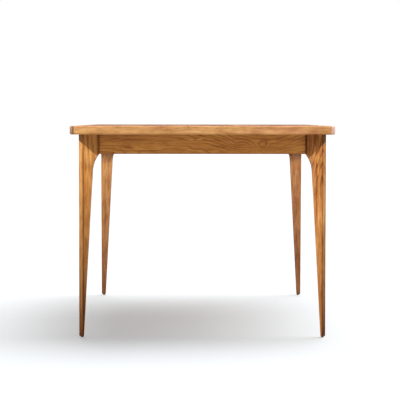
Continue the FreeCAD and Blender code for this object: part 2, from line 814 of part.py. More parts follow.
def cut_roots(body, face, outwards, places, level):
    """Slots in which alignment tongues are glued."""
    for number, x in enumerate(places):
        cut_box(body, f"root{number}", (x - size.align_width / 2, x + size.align_width / 2),
                (face - outwards * size.align_root, face + outwards * size.overrun),
                (level, level + size.align_thick))


def align_tongue(x, face, level):
    """A flat tongue across a seam: its root is behind the face, and it stands out to +Y."""
    return block((x - size.align_width / 2, x + size.align_width / 2),
                 (face - size.align_root, face + size.align_stand),
                 (level, level + size.align_thick))


def make_panel(half_name, end, screw_places):
    body = new_body(f"top_panel_{half_name}")
    seam = end * size.seam_gap / 2
    add_box(body, "panel", (-panel_half_width, panel_half_width),
            (seam, end * (half_length - size.lipping_width)), (top_underside, size.table_height))
    cut_seam = cut_roots if half_name == "front" else cut_sockets
    cut_seam(body, seam, -end, align_places, align_level)
    for number, (x, y) in enumerate(screw_places):
        drill(body, f"screw_hole{number}", (x, y, top_underside - size.overrun), "z",
              size.screw_radius, size.top_screw_bite + size.overrun)


def make_end_lipping(half_name, end):
    body = new_body(f"end_lipping_{half_name}")
    add_box(body, "strip", (-panel_half_width, panel_half_width),
            (end * (half_length - size.lipping_width), end * half_length),
            (top_underside, size.table_height))
    for level, bevel in ARRISES:
        dress(body, "Chamfer", "Size", bevel,
              lambda p: near(p.z, level) and near(p.y, end * half_length))


def make_side_lipping(half_name, end, side_name, side):
    body = new_body(f"side_lipping_{half_name}_{side_name}")
    add_box(body, "strip", (side * panel_half_width, side * half_width),
            (end * size.seam_gap / 2, end * half_length), (top_underside, size.table_height))
    dress(body, "Fillet", "Radius", size.corner_radius,
          lambda p: near(p.x, side * half_width) and near(p.y, end * half_length))
    for level, bevel in ARRISES:
        dress(body, "Chamfer", "Size", bevel,
              lambda p: near(p.z, level) and on_outer_edge(p, end, side))


def on_outer_edge(point, end, side):
    return near(point.x, side * half_width) or near(point.y, end * half_length)


def make_half(half_name, end):
    screw_places = []
    for side_name, side in SIDES.items():
        screw_places += make_runner(half_name, end, side_name, side)
        make_side_lipping(half_name, end, side_name, side)
    batten_places = [(x, end * batten_place) for x in batten_screw_x]
    make_panel(half_name, end, screw_places + batten_places)
    make_end_lipping(half_name, end)
    make_batten(half_name, end, batten_places)
    group(f"runner_screws_{half_name}",
          [screw((x, y, runner_bottom), AXES["z"], top_underside - runner_bottom + size.top_screw_bite)
           for x, y in screw_places])
    group(f"batten_screws_{half_name}",
          [screw((x, y, batten_bottom), AXES["z"], size.batten_height + size.top_screw_bite)
           for x, y in batten_places])


def make_batten(half_name, end, screw_places):
    body = new_body(f"top_batten_{half_name}")
    add_box(body, "batten", (-batten_half_length, batten_half_length),
            (end * (batten_place - size.batten_width / 2),
             end * (batten_place + size.batten_width / 2)),
            (batten_bottom, top_underside))
    for number, (x, y) in enumerate(screw_places):
        drill(body, f"screw_hole{number}", (x, y, batten_bottom - size.overrun), "z",
              size.screw_radius, size.batten_height + 2 * size.overrun)


for half_name, end in HALVES.items():
    make_half(half_name, end)


# Tongues across the seam, fixed in the front half

group("seam_tongues", [align_tongue(x, -size.seam_gap / 2, align_level) for x in align_places])


# Stops at the ends of the slides

def stop_pad(side, end):
    facing = side * -end
    inner = side * rail_place + facing * (size.rail_half_width + size.slide_gap)
    face = runner_reach + travel + size.stop_clearance
    return block((inner, inner + facing * size.runner_thick), (end * face, end * apron_inner_y),
                 (tongue_middle - size.buffer_height / 2, tongue_middle + size.buffer_height / 2))


group("slide_buffers", [stop_pad(side, end) for side in SIDES.values() for end in HALVES.values()])


# Folding leaf: two panels, stored one above the other with their show faces together

hinge_places = [-size.hinge_place, as_size(0), size.hinge_place]
fold_edge = -leaf_half_width
upper_hinge = leaf_upper_face + size.hinge_inset
lower_hinge = leaf_lower_face - size.hinge_inset
leaf_align_places = [fold_edge + align_inner, fold_edge + align_outer]


def hinge_body(y, level):
    """Where a hinge body lies along X, Y and Z."""
    return ((fold_edge, fold_edge + size.hinge_depth),
            (y - size.hinge_length / 2, y + size.hinge_length / 2),
            (level - size.hinge_body_thick / 2, level + size.hinge_body_thick / 2))


def make_leaf_panel(name, low, hinge_level, align_low):
    body = new_body(f"leaf_panel_{name}")
    add_box(body, "panel", (-leaf_half_width, leaf_half_width),
            (-leaf_half_length, leaf_half_length), (low, low + size.leaf_thick))
    for number, y in enumerate(hinge_places):
        cut_box(body, f"hinge_seat{number}", *hinge_body(y, hinge_level))
    cut_sockets(body, -leaf_half_length, -1, leaf_align_places, align_low)
    cut_roots(body, leaf_half_length, 1, leaf_align_places, align_low)


def leaf_hinge(y):
    """Two bodies joined by a link on the fold edge."""
    link = block((fold_edge - size.hinge_link_thick, fold_edge),
                 (y - size.hinge_length / 2, y + size.hinge_length / 2), (lower_hinge, upper_hinge))
    return link.multiFuse([block(*hinge_body(y, level)) for level in (upper_hinge, lower_hinge)])


upper_align = leaf_upper_face + align_depth
lower_align = leaf_lower_face - align_depth - size.align_thick
make_leaf_panel("upper", leaf_upper_face, upper_hinge, upper_align)
make_leaf_panel("lower", leaf_bottom, lower_hinge, lower_align)
group("leaf_hinges", [leaf_hinge(y) for y in hinge_places])
group("leaf_tongues", [align_tongue(x, leaf_half_length, level)
                       for x in leaf_align_places for level in (upper_align, lower_align)])

# Fittings that carry the leaf: pivot arms on it, open brackets and ledges on the cross rails

pivot_z = leaf_top + size.pivot_lift
arm_outer = leaf_half_length + size.plate_thick


def extruded(points, low, high, turn):
    """A flat outline in (x, z), from one place along the table to another."""
    corners = [FreeCAD.Vector(float(x), float(low), float(z)) for x, z in points]
    face = Part.Face(Part.makePolygon(corners + corners[:1]))
    solid = face.extrude(AXES["y"] * float(high - low))
    solid.rotate(FreeCAD.Vector(), AXES["z"], turn)
    return solid


def pivot_arm(end):
    """A plate screwed to the end of the upper panel, with the pivot pin on its neck."""
    turn = 0 if end > 0 else 180
    middle = end * pivot_x
    foot = leaf_top - size.pivot_arm_drop
    shoulder = leaf_top - size.pivot_neck
    neck_top = pivot_z + size.pivot_radius
    right = [(size.pivot_arm_width / 2, foot), (size.pivot_arm_width / 2, shoulder),
             (size.pivot_neck / 2, leaf_top), (size.pivot_neck / 2, neck_top)]
    left = [(-x, z) for x, z in reversed(right)]
    plate = extruded([(middle + x, z) for x, z in right + left], leaf_half_length, arm_outer, turn)
    pin = Part.makeCylinder(float(size.pivot_radius), float(size.pivot_pin_length),
                            FreeCAD.Vector(float(pivot_x), float(end * arm_outer), float(pivot_z)),
                            AXES["y"] * end)
    return plate.fuse(pin)


def pivot_bracket(end):
    """An open-topped bracket on the cross rail. The pin lifts out of its slot."""
    turn = 0 if end > 0 else 180
    middle = end * pivot_x
    near_face = arm_outer + size.plate_thick
    far_face = near_face + size.plate_thick
    slot = size.pivot_radius + size.bracket_clearance
    top = pivot_z + size.pivot_radius
    upright = extruded([(middle - size.bracket_half_width, rail_bottom),
                        (middle + size.bracket_half_width, rail_bottom),
                        (middle + size.bracket_half_width, top), (middle - size.bracket_half_width, top)],
                       near_face, far_face, turn)
    foot_end = cross_rail_inner + size.bracket_foot
    foot = extruded([(middle - size.bracket_half_width, rail_bottom),
                     (middle + size.bracket_half_width, rail_bottom),
                     (middle + size.bracket_half_width, rail_bottom + size.plate_thick),
                     (middle - size.bracket_half_width, rail_bottom + size.plate_thick)],
                    near_face, foot_end, turn)
    start = FreeCAD.Vector(float(pivot_x), float(end * (near_face - size.overrun)), float(pivot_z))
    length = float(size.plate_thick + 2 * size.overrun)
    round_slot = Part.makeCylinder(float(slot), length, start, AXES["y"] * end)
    open_slot = extruded([(middle - slot, pivot_z), (middle + slot, pivot_z),
                          (middle + slot, top + size.overrun), (middle - slot, top + size.overrun)],
                         near_face - size.overrun, far_face + size.overrun, turn)
    return upright.fuse(foot).cut(round_slot).cut(open_slot)


def leaf_ledge(end):
    """A steel angle on the cross rail, under the free side of the stored leaf."""
    span = (size.ledge_start, size.ledge_end)
    low = leaf_bottom - size.plate_thick
    edge = cross_rail_inner - size.plate_thick
    shelf = block(span, (end * (edge - size.bracket_foot), end * cross_rail_inner), (low, leaf_bottom))
    return shelf.fuse(block(span, (end * edge, end * cross_rail_inner), (low, low + size.ledge_height)))


for label, maker in (("leaf_pivot_arms", pivot_arm), ("leaf_pivot_brackets", pivot_bracket),
                     ("leaf_ledges", leaf_ledge)):
    group(label, [maker(end) for end in HALVES.values()])


# Lever locks: the plate and lever on the front half, the keeper on the back half

plate_bottom = top_underside - size.lock_plate_thick
lever_top = plate_bottom - size.lever_gap
lever_bottom = lever_top - size.lever_thick
lever_end = size.lock_reach + size.lever_tip


def lock_stud(side, end, length, head):
    """A plate under one half, with a stud that hangs from it."""
    middle = side * lock_x
    near_face = end * size.seam_gap / 2
    plate = block((middle - size.lock_plate_width / 2, middle + size.lock_plate_width / 2),
                  (near_face, near_face + end * size.lock_plate_length), (plate_bottom, top_underside))
    profile = [(0, 0), (0, size.stud_radius), (length, size.stud_radius), (length, 0)]
    if head:
        profile = profile[:-1] + [(length, size.stud_head_radius),
                                  (length + size.stud_head_thick, size.stud_head_radius),
                                  (length + size.stud_head_thick, 0)]
    stud = turned(profile, (middle, end * size.lock_reach / 2, plate_bottom), -AXES["z"])
    return plate.fuse(stud)


def make_lever(name, side):
    """At rest the lever points at the side apron. A quarter turn hooks it on the stud."""
    body = new_body(f"lock_lever_{name}")
    add_cylinder(body, "hub", (0, 0, 0), "z", size.lever_hub_radius, size.lever_thick)
    add_box(body, "arm", (0, side * lever_end), (-size.lever_outer_side, size.lever_inner_side),
            (0, size.lever_thick))
    add_box(body, "tab", (side * (lever_end - size.lever_tab_thick), side * lever_end),
            (-size.lever_outer_side, size.lever_inner_side), (-size.lever_tab_drop, 0))
    hook = size.stud_radius + size.stud_clearance
    drawing = new_sketch(body, f"lever_{name}_hook", offset=-size.overrun)
    radii = [size.lock_reach - hook, size.lock_reach + hook]
    draw_hook(drawing, side, radii, hook)
    pocket(body, drawing, size.lever_thick + 2 * size.overrun, backwards=True)
    cut_cylinder(body, "bore", (0, 0, -size.overrun), "z", size.stud_radius + size.running_fit,
                 size.lever_thick + 2 * size.overrun)
    place(body, side * lock_x, -size.lock_reach / 2, lever_bottom)


def draw_hook(drawing, side, radii, hook):
    """A slot along the stud's path as the lever turns: it ends in a half round, and leaves
    the lever on the side that leads."""
    inner, outer = (float(radius) for radius in radii)
    leave = HOOK_OPENING
    middle = float(size.lock_reach)
    half = float(hook)

    def at(radius, angle):
        return FreeCAD.Vector(side * radius * math.cos(angle), radius * math.sin(angle), 0)

    drawing.addGeometry([
        Part.Arc(at(outer, 0), at(outer, leave / 2), at(outer, leave)),
        Part.LineSegment(at(outer, leave), at(inner, leave)),
        Part.Arc(at(inner, leave), at(inner, leave / 2), at(inner, 0)),
        Part.Arc(at(inner, 0), FreeCAD.Vector(side * middle, -half, 0), at(outer, 0)),
    ])


stud_length = size.lever_gap + size.lever_thick + size.stud_end_gap
pin_length = 2 * size.lever_gap + size.lever_thick
group("lock_plates", [lock_stud(side, -1, pin_length, True) for side in SIDES.values()])
group("lock_keepers", [lock_stud(side, 1, stud_length, False) for side in SIDES.values()])
for side_name, side in SIDES.items():
    make_lever(side_name, side)


# Every object has to be sound before anything is written

doc.recompute()
faults = [item.Name for item in doc.Objects if {"Invalid", "Error"} & set(item.State)]
if faults:
    raise RuntimeError(f"objects that failed: {faults}")
for item in nodes:
    if item.Shape.isNull() or not item.Shape.isValid():
        raise RuntimeError(f"{item.Label} has no sound shape")

os.makedirs("parts", exist_ok=True)
for item in nodes:
    item.Shape.exportStep(f"parts/{item.Label}.step")
    print(item.Label, len(item.Shape.Solids), round(item.Shape.Volume))
print(len(nodes), "nodes")
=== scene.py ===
import math
import random
from functools import partial

import bpy
from mathutils import Matrix, Vector


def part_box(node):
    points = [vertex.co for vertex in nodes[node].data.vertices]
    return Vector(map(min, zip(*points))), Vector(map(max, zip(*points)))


# The extending dining table in its studio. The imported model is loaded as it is, and this
# script adds materials, softened edges, the floor, the lights and the camera. Lengths are
# in metres.

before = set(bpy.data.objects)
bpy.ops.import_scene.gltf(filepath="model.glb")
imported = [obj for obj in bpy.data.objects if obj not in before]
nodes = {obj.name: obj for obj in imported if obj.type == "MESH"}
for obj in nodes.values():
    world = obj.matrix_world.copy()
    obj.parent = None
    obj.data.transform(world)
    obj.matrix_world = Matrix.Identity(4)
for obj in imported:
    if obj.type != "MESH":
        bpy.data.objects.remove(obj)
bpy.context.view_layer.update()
scene = bpy.context.scene


# Camera: a long lens straight at the short end, just above the top. Angles are in degrees.

IMAGE_WIDTH = 400
SENSOR_WIDTH = 36
FOCAL_PIXELS = 1598.0
CAMERA_PLACE = (-0.0218, -6.4255, 0.7885)
CAMERA_PITCH = 2.933
CAMERA_YAW = -0.133
CAMERA_ROLL = 0.054
FARTHEST_SEEN = 200

camera_data = bpy.data.cameras.new("camera")
camera_data.sensor_width = SENSOR_WIDTH
camera_data.lens = FOCAL_PIXELS * SENSOR_WIDTH / IMAGE_WIDTH
camera_data.clip_end = FARTHEST_SEEN
camera = bpy.data.objects.new("camera", camera_data)
camera.matrix_world = (Matrix.Translation(CAMERA_PLACE)
                       @ Matrix.Rotation(math.radians(CAMERA_YAW), 4, "Z")
                       @ Matrix.Rotation(math.radians(90 - CAMERA_PITCH), 4, "X")
                       @ Matrix.Rotation(math.radians(CAMERA_ROLL), 4, "Z"))
scene.collection.objects.link(camera)
scene.camera = camera


# Small helpers that draw a node graph. A value is a number, a vector or another node's output.

WHITE = (1, 1, 1, 1)


class Graph:
    """The nodes of a material or a world."""

    def __init__(self, owner):
        owner.use_nodes = True
        self.nodes = owner.node_tree.nodes
        self.links = owner.node_tree.links

    def add(self, kind, **settings):
        node = self.nodes.new(kind)
        for key, value in settings.items():
            setattr(node, key, value)
        return node

    def feed(self, socket, value):
        if isinstance(value, bpy.types.NodeSocket):
            self.links.new(value, socket)
        else:
            socket.default_value = value

    def calc(self, operation, first, second=0.0, third=0.0, clamp=False):
        node = self.add("ShaderNodeMath", operation=operation, use_clamp=clamp)
        for socket, value in zip(node.inputs, (first, second, third)):
            self.feed(socket, value)
        return node.outputs[0]

    def remap(self, value, low, high, to_low=0.0, to_high=1.0):
        node = self.add("ShaderNodeMapRange")
        for socket, number in zip(node.inputs, (value, low, high, to_low, to_high)):
            self.feed(socket, number)
        return node.outputs[0]

    def seen_directly(self):
        """1 for what the camera sees itself, in a reflection or through glass, and 0 for light."""
        path = self.add("ShaderNodeLightPath")
        seen = self.calc("MAXIMUM", path.outputs["Is Camera Ray"], path.outputs["Is Glossy Ray"])
        return self.calc("MAXIMUM", seen, path.outputs["Is Transmission Ray"])


class Surface(Graph):
    """A material on the standard shader."""

    def __init__(self, name):
        self.material = bpy.data.materials.new(name)
        super().__init__(self.material)
        self.shader = self.nodes["Principled BSDF"]
        self.coordinates = self.add("ShaderNodeTexCoord")
        self.place = self.coordinates.outputs["Object"]

    def vector(self, operation, first, second):
        node = self.add("ShaderNodeVectorMath", operation=operation)
        self.feed(node.inputs[0], first)
        self.feed(node.inputs[1], second)
        return node.outputs["Value" if operation == "LENGTH" else "Vector"]

    def parts(self, vector):
        node = self.add("ShaderNodeSeparateXYZ")
        self.feed(node.inputs[0], vector)
        return node.outputs

    def joined(self, x, y, z):
        node = self.add("ShaderNodeCombineXYZ")
        for socket, value in zip(node.inputs, (x, y, z)):
            self.feed(socket, value)
        return node.outputs[0]

    def noise(self, vector, waves, detail=3.0, roughness=0.55, colour=False):
        """Noise with that many waves per metre in each direction."""
        node = self.add("ShaderNodeTexNoise")
        self.feed(node.inputs["Vector"], self.vector("MULTIPLY", vector, waves))
        node.inputs["Scale"].default_value = 1.0
        node.inputs["Detail"].default_value = detail
        node.inputs["Roughness"].default_value = roughness
        return node.outputs["Color" if colour else "Fac"]

    def ramp(self, value, stops):
        node = self.add("ShaderNodeValToRGB")
        self.feed(node.inputs[0], value)
        elements = node.color_ramp.elements
        while len(elements) < len(stops):
            elements.new(0.5)
        for element, (position, colour) in zip(elements, stops):
            element.position = position
            element.color = (*colour, 1.0)
        return node.outputs[0]

    def blend(self, share, first, second, kind="MIX"):
        node = self.add("ShaderNodeMix", data_type="RGBA", blend_type=kind)
        for number, value in ((0, share), (6, first), (7, second)):
            self.feed(node.inputs[number], value)
        return node.outputs[2]

    def times(self, colour, tint):
        return self.blend(1.0, colour, (*tint, 1), "MULTIPLY")

    def tinted(self, share, colour, tint):
        """The colour, multiplied by the tint where the share is 1."""
        return self.blend(share, colour, self.times(colour, tint))

    def bump(self, height, strength, distance):
        node = self.add("ShaderNodeBump")
        node.inputs["Strength"].default_value = strength
        node.inputs["Distance"].default_value = distance
        self.feed(node.inputs["Height"], height)
        self.feed(self.shader.inputs["Normal"], node.outputs[0])

    def set(self, **inputs):
        for key, value in inputs.items():
            self.feed(self.shader.inputs[key.replace("_", " ")], value)


def srgb(red, green, blue):
    """A screen colour, from 0 to 255, as the linear values that shaders take."""
    return tuple(((c / 255 + 0.055) / 1.055) ** 2.4 for c in (red, green, blue))


def shade(colour, factor):
    return tuple(min(c * f, 1.0) for c, f in zip(colour, factor))


# Wood, cut from a trunk whose rings lie round an axis beside the board

HONEY = [srgb(224, 174, 116), srgb(198, 142, 86), srgb(162, 106, 58), srgb(108, 64, 32)]
BROWN = [srgb(161, 116, 76), srgb(134, 91, 56), srgb(106, 68, 41), srgb(72, 43, 25)]
BEECH = [srgb(216, 184, 142), srgb(200, 163, 118), srgb(182, 142, 98), srgb(150, 110, 72)]
TONE_STOPS = (0.0, 0.36, 0.7, 1.0)
MIDDLE_TONE = 0.42
RING_DARKEST = 0.82

# Tints that are multiplied with a colour, and how strongly pores and seams show
BLUSH_TINT = (0.98, 0.88, 1.16)
PORE_TINT = (0.55, 0.5, 0.45)
PORE_SHARE = 0.4
SEAM_TINT = (0.4, 0.35, 0.3)
SEAM_SHARE = 0.75

# Relief: what fibre, pores and rings add to it, its strength and its depth
FIBRE_RELIEF = 0.5
PORE_RELIEF = 0.8
RING_RELIEF = 0.25
RELIEF_STRENGTH = 0.28
RELIEF_DEPTH = 0.0005

# Waves per metre of each noise, twice across the grain and once along it
BEND = (7, 7, 1.6)
SWAY = (13, 13, 3)
RIPPLE = (34, 34, 6)
FIGURE = (12, 12, 3.5)
FIBRE = (300, 300, 11)
STRANDS = (105, 105, 5)
SPECKS = (48, 48, 17)
CLOUDS = (11, 11, 1.8)
BLUSH = (16, 16, 2.6)
PORES = (720, 720, 46)

# A plank of a panel is cut elsewhere from the trunk, by up to these distances, and has its own tone
PLANK_SHIFT_ACROSS = 0.12
PLANK_SHIFT_ALONG = 7.0
PLANK_TONES = 0.26
PLANK_SEED_STEP = 0.37
SEAM_HALF_WIDTH = 0.0004

# How fast a knot's eye fades, against the bulge of the rings round it
EYE_FALLOFF = 14.0


class Board(Surface):
    """Wood with its grain along one axis. Along, across and other start at the board's middle."""

    def __init__(self, name, axis):
        super().__init__(name)
        self.axis = axis
        self.low_corner, self.high_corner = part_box(name)
        middle = [(low + high) / 2 for low, high in zip(self.low_corner, self.high_corner)]
        x, y, z = self.parts(self.vector("SUBTRACT", self.place, middle))
        self.across, self.other, self.along = {"X": (y, z, x), "Y": (x, z, y), "Z": (x, y, z)}[axis]
        self.point = self.parts(self.place)
        self.normal = self.parts(self.coordinates.outputs["Normal"])

    def lay_planks(self, width, seed):
        """Splits the board into planks, and gives each plank's tone and the seams between them."""
        cells = self.calc("DIVIDE", self.across, width)
        cell = self.calc("FLOOR", cells)
        white = self.add("ShaderNodeTexWhiteNoise", noise_dimensions="1D")
        self.feed(white.inputs["W"], self.calc("ADD", cell, seed * PLANK_SEED_STEP))
        chance = self.parts(white.outputs["Color"])
        plank_middle = self.calc("MULTIPLY", self.calc("ADD", cell, 0.5), width)
        shift = self.calc("MULTIPLY_ADD", chance[0], PLANK_SHIFT_ACROSS, -PLANK_SHIFT_ACROSS / 2)
        self.across = self.calc("ADD", self.calc("SUBTRACT", self.across, plank_middle), shift)
        self.along = self.calc("ADD", self.along, self.calc("MULTIPLY", chance[1], PLANK_SHIFT_ALONG))
        tone = self.calc("MULTIPLY_ADD", chance[2], PLANK_TONES, -PLANK_TONES / 2)
        from_middle = self.calc("ABSOLUTE", self.calc("SUBTRACT", self.calc("FRACT", cells), 0.5))
        seam = self.calc("GREATER_THAN", from_middle, 0.5 - SEAM_HALF_WIDTH / width)
        return tone, seam

    def rings(self, grain, pith, tilt, swing, ring, warp):
        """How many rings lie between a point and the middle of the trunk."""
        side, depth = pith
        if tilt:
            side = self.calc("MULTIPLY_ADD", self.along, tilt[0], side)
            depth = self.calc("MULTIPLY_ADD", self.along, tilt[1], depth)
        if swing:
            amount, period, phase = swing
            wave = self.calc("SINE", self.calc("MULTIPLY_ADD", self.along, 2 * math.pi / period, phase))
            depth = self.calc("MULTIPLY_ADD", wave, amount, depth)
        straight = self.joined(self.calc("ADD", self.across, side), self.calc("ADD", self.other, depth), 0.0)
        bend = self.vector("SUBTRACT", self.noise(grain, BEND, colour=True), (0.5, 0.5, 0.5))
        bend = self.vector("MULTIPLY", bend, (warp * 2, warp * 2, 0))
        distance = self.vector("LENGTH", self.vector("ADD", straight, bend), (0, 0, 0))
        rings = self.calc("DIVIDE", distance, ring)
        rings = self.calc("MULTIPLY_ADD", self.noise(grain, RIPPLE), 1.6, rings)
        return self.calc("MULTIPLY_ADD", self.noise(grain, SWAY, detail=2.0), 3.0, rings)

    def add_knots(self, rings, knots):
        """Gives the rings as the knots bend them, and how dark the knots' eyes are."""
        eyes = 0.0
        beside = self.across if self.axis == "Z" else self.other
        for knot_along, knot_beside, length, height, lift, dark in knots:
            u = self.calc("DIVIDE", self.calc("SUBTRACT", self.along, knot_along), length)
            v = self.calc("DIVIDE", self.calc("SUBTRACT", beside, knot_beside), height)
            away = self.calc("MULTIPLY_ADD", u, u, self.calc("MULTIPLY", v, v))
            bulge = self.calc("EXPONENT", self.calc("MULTIPLY", away, -1.0))
            rings = self.calc("MULTIPLY_ADD", bulge, lift, rings)
            eye = self.calc("EXPONENT", self.calc("MULTIPLY", away, -EYE_FALLOFF))
            eyes = self.calc("MULTIPLY_ADD", eye, dark, eyes)
        return rings, eyes


def wood(name, axis, tones, seed, tint=(1, 1, 1), pith=(0.03, 0.09), tilt=(0.02, 0.03), swing=None,
         ring=0.011, early=0.45, warp=0.016, knots=(), plank=0.0, figure=0.34, streak=0.9, mottle=0.5,
         broad=0.7, rosy=0.5, roughness=0.46, gloss=0.25, overlay=None):
    """The material of one board.

    pith: how far the middle of the trunk lies beside the board's, with a tilt or a swing along it.
    ring, early, warp: the width of a ring, the pale share of it, and how far rings stray.
    figure, streak, mottle, broad, rosy: how strong rings, fibre, specks, clouds and blush are.
    plank: the width of a panel's planks. overlay: adds colour over the wood's own: painted light and shade,
    and on lippings a darker upper side and end grain.
    """
    dice = random.Random(seed)
    start = (dice.uniform(3, 40), dice.uniform(3, 40), dice.uniform(3, 40))
    board = Board(name, axis)
    plank_tone, seam = 0.0, None
    if plank:
        tilt = None
        plank_tone, seam = board.lay_planks(plank, seed)
    grain = board.vector("ADD", board.joined(board.across, board.other, board.along), start)
    rings, eyes = board.add_knots(board.rings(grain, pith, tilt, swing, ring, warp), knots)
    late = board.ramp(board.calc("FRACT", rings), [(0.0, (0.15,) * 3), (early, (0.25,) * 3),
                                                   (RING_DARKEST, (1,) * 3), (1.0, (0.15,) * 3)])
    fibre = board.noise(grain, FIBRE, detail=4.0, roughness=0.62)
    strands = board.noise(grain, STRANDS)
    specks = board.noise(grain, SPECKS, roughness=0.6)
    clouds = board.noise(grain, CLOUDS, detail=2.0)
    pores = board.remap(board.noise(grain, PORES, detail=1.0), 0.60, 0.74)

    strength = board.noise(grain, FIGURE, detail=2.0)
    strength = board.remap(strength, 0.35, 0.68, 0.25 * figure, 1.35 * figure)
    tone = board.calc("MULTIPLY_ADD", board.calc("SUBTRACT", late, MIDDLE_TONE), strength, MIDDLE_TONE)
    for part, weight in ((fibre, 1.3 * streak), (strands, streak), (specks, mottle), (clouds, broad)):
        tone = board.calc("MULTIPLY_ADD", board.calc("SUBTRACT", part, 0.5), weight, tone)
    tone = board.calc("ADD", tone, eyes)
    tone = board.calc("ADD", tone, plank_tone, clamp=True)

    colour = board.ramp(tone, [(stop, shade(c, tint)) for stop, c in zip(TONE_STOPS, tones)])
    blush = board.remap(board.noise(grain, BLUSH, detail=2.0), 0.42, 0.66, 0.0, rosy)
    colour = board.tinted(blush, colour, BLUSH_TINT)
    pore_share = board.calc("MULTIPLY", pores, PORE_SHARE)
    colour = board.blend(pore_share, colour, (*shade(tones[-1], PORE_TINT), 1))
    if plank:
        seam_share = board.calc("MULTIPLY", seam, SEAM_SHARE)
        colour = board.blend(seam_share, colour, (*shade(tones[-1], SEAM_TINT), 1))
    if overlay:
        colour = overlay(board, colour)
    board.set(Base_Color=colour, Specular_IOR_Level=gloss,
              Roughness=board.remap(tone, 0.0, 1.0, roughness - 0.05, roughness + 0.09))
    relief = board.calc("MULTIPLY", fibre, FIBRE_RELIEF)
    relief = board.calc("SUBTRACT", relief, board.calc("MULTIPLY", pores, PORE_RELIEF))
    relief = board.calc("SUBTRACT", relief, board.calc("MULTIPLY", late, RING_RELIEF))
    board.bump(relief, RELIEF_STRENGTH, RELIEF_DEPTH)
    return board.material


# Colour laid over the wood: painted shade in joints, on arrises, towards the feet and under aprons, painted
# light and shade on chamfers and lower edges, and end grain

LEG_LOW, LEG_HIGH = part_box("leg_front_right")
APRON_REACH = {"X": abs(LEG_LOW[0]), "Y": abs(LEG_HIGH[1])}
# Tints of painted shade: in the apron's lines, in the legs' lines, and in the apron's shadow on the back
# legs
APRON_LINE_SHADE_TINT = (0.42, 0.33, 0.27)
LEG_LINE_SHADE_TINT = (0.52, 0.43, 0.33)
APRON_SHADOW_TINT = (0.40, 0.38, 0.50)

# Dark lines of painted shade: how far from their middle they are full, and how far from it they end
ARRIS_LINE = (0.001, 0.0038)
LEG_JOINT_LINE = (0.003, 0.0065)
APRON_JOINT_LINE = (0.001, 0.0045)
APRON_EDGE_LINE = (0.0005, 0.0035)

# Heights on a leg: below the first, painted shade darkens it towards the foot, and in each pair a tint
# starts and is full: the apron's painted shadow, then the joint's painted shade
LEG_SHADE_BELOW = 0.56
APRON_SHADOW_HEIGHTS = (0.583, 0.626)
JOINT_HEIGHTS = (0.655, 0.662)

# A chamfer is where both level parts of the direction that a surface faces are large
CHAMFER_TURN = (0.2, 0.45)
# How fast the painted shade grows towards the foot, on the faces and on the chamfer
FACE_DARKENING = 0.85
BEVEL_DARKENING = 1.6

# The upper side of a lipping, which is darkened, and its rounded lower edge, which gets painted light, told
# apart by how far they face upwards
CROWN_TINT = (0.52, 0.46, 0.48)
LOWER_EDGE_LIGHT_TINT = (1.5, 1.5, 1.5)
UPPER_SIDE = (0.3, 1.0)
LOWER_SLOPE = (-0.25, -0.6)
NOT_UNDERSIDE = (-0.95, -0.85)

# The end grain of the side lippings: the left ends are tinted darker, painted shade, and the right ends
# paler and pinker, a painted reflection; a paler band along it is a painted highlight
SIDE_LIPPING_TINT = (1.08, 1.0, 0.95)
END_GRAIN_SHADE_AND_REFLECTION_TINTS = {"left": (0.30, 0.335, 0.55), "right": (0.55, 0.755, 1.70)}
END_HIGHLIGHT_TINT = (1.7, 1.6, 1.5)
END_HIGHLIGHT_SHIFTS = {"left": 0.0, "right": 0.004}
END_HIGHLIGHT_WIDTHS = {"left": 0.004, "right": 0.008}


def leg_painted_light_and_shade(board, colour, arris, face_foot_shade, bevel_top_light_and_shade, bevel_foot_shade, apron_shadow=False):
    """Painted shade on the faces towards the foot, painted light and shade on the chamfer, and painted shade
    along arrises and joints.
    """
    height = board.point[2]
    level_parts = [board.calc("ABSOLUTE", board.normal[number]) for number in (0, 1)]
    turned = board.remap(board.calc("MULTIPLY", *level_parts), *CHAMFER_TURN)
    lowness = board.remap(height, 0.0, LEG_SHADE_BELOW, 1.0, 0.0)
    face_low = board.calc("POWER", lowness, FACE_DARKENING)
    bevel_low = board.calc("POWER", lowness, BEVEL_DARKENING)
    face = board.blend(face_low, WHITE, (*face_foot_shade, 1))
    bevel = board.blend(bevel_low, (*bevel_top_light_and_shade, 1), (*bevel_foot_shade, 1))
    colour = board.blend(1.0, colour, board.blend(turned, face, bevel), "MULTIPLY")
    # Painted shade along the ridge of the chamfer, and in the joint where the leg meets the apron
    line = 0.0
    for number, sideways in ((0, 1), (1, 0)):
        outwards = board.calc("ABSOLUTE", board.point[number])
        inner, outer = sorted((abs(board.low_corner[number]), abs(board.high_corner[number])))
        ridge = board.calc("ABSOLUTE", board.calc("SUBTRACT", outwards, outer - arris))
        ridge = board.remap(ridge, *ARRIS_LINE, 0.85, 0.0)
        full, end = LEG_JOINT_LINE
        joint = board.remap(outwards, inner + full, inner + end, 1.0, 0.0)
        joint = board.calc("MULTIPLY", joint, board.remap(height, *JOINT_HEIGHTS))
        facing = board.calc("MULTIPLY", board.normal[sideways], board.point[sideways])
        outside = board.calc("GREATER_THAN", facing, 0.0)
        here = board.calc("MULTIPLY", board.calc("MAXIMUM", ridge, joint), outside)
        line = board.calc("MAXIMUM", line, here)
    colour = board.tinted(line, colour, LEG_LINE_SHADE_TINT)
    if apron_shadow:
        # Painted shadow of the apron, on the faces that look inwards, close under the apron
        inwards = board.calc("LESS_THAN", board.calc("MULTIPLY", board.normal[1], board.point[1]), -0.2)
        close = board.calc("MULTIPLY", board.remap(height, *APRON_SHADOW_HEIGHTS), inwards)
        colour = board.tinted(close, colour, APRON_SHADOW_TINT)
    return colour


